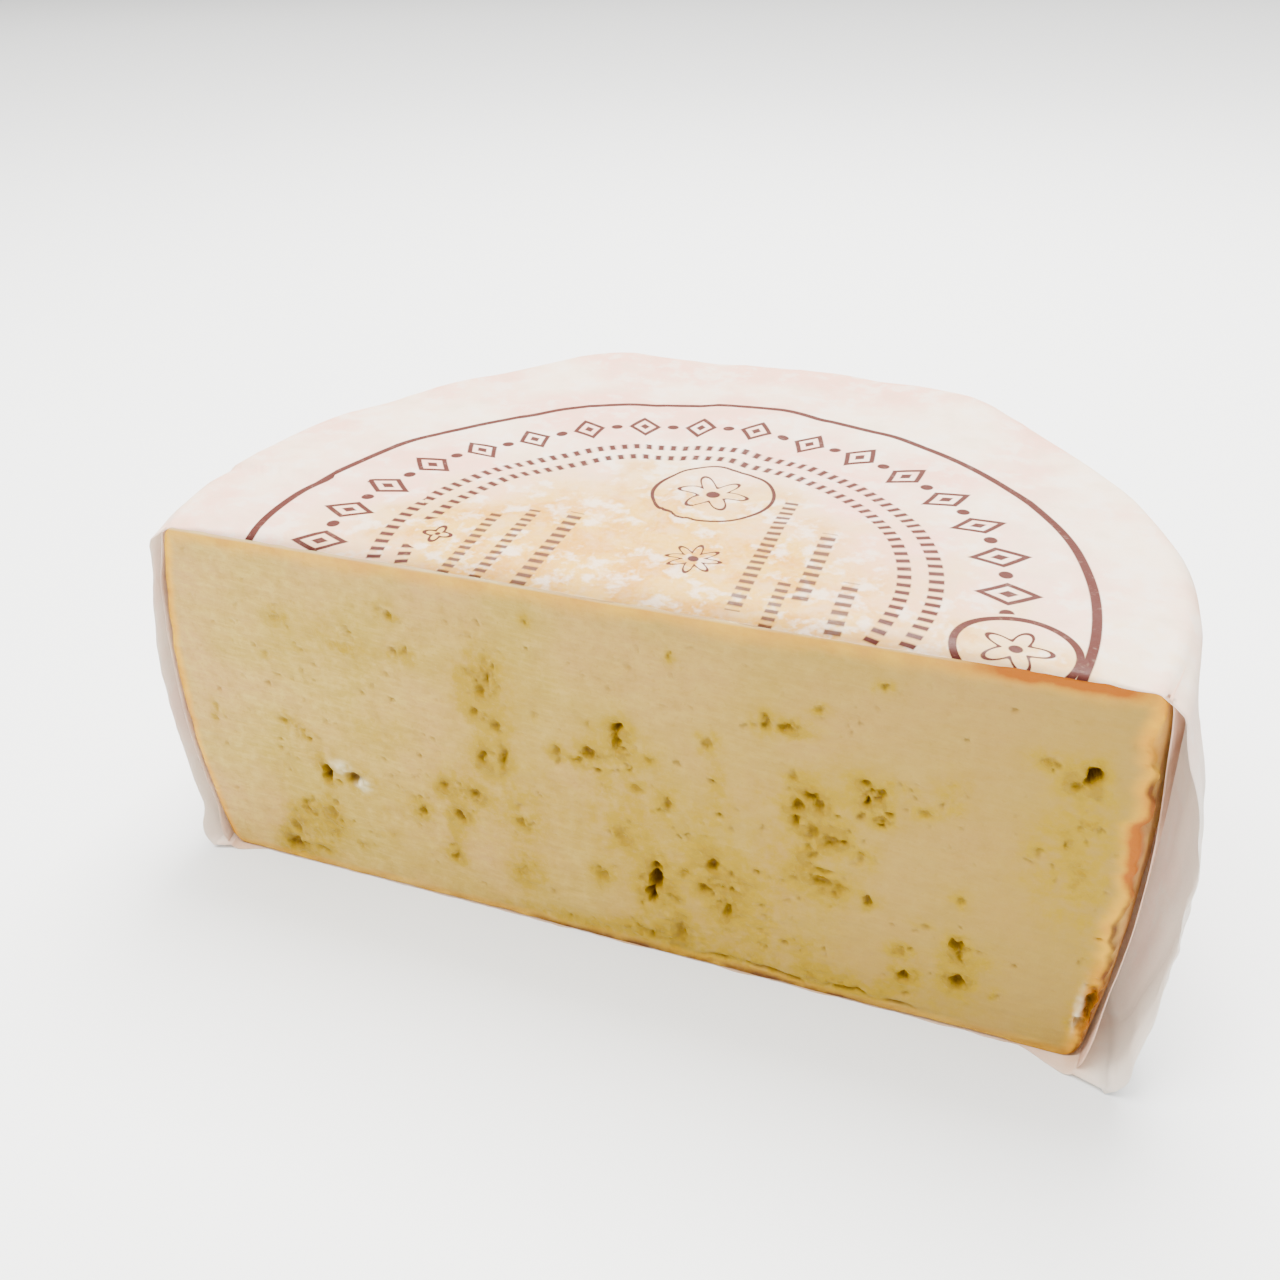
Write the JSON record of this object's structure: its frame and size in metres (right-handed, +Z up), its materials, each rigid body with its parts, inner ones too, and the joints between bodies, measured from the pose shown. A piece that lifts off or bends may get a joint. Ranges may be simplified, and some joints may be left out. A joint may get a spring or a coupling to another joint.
{
  "type": "cheese wheel",
  "caption": "Cut wheel of cured cheese, a little over half, with a thin rind and oil-stained eyes in the cut face, still in its printed greaseproof paper.",
  "frame": {"origin": "on the wheel's axis, at the surface that the piece stands on", "axes": "+X along the knife's cut, to the right as the cut face is looked at; -Y out of the cut face; +Z up, along the wheel's axis"},
  "size_m": [0.2249, 0.1402, 0.0868],
  "materials": {
    "cheese": "cream paste with olive oil stains, thin ochre rind, slightly waxy",
    "greaseproof_paper": "translucent pinkish white, creased, with faded red-brown print"
  },
  "bodies": {
    "root": {"cheese_half": "cheese", "paper_wrapper": "greaseproof_paper"}
  },
  "joints": []
}
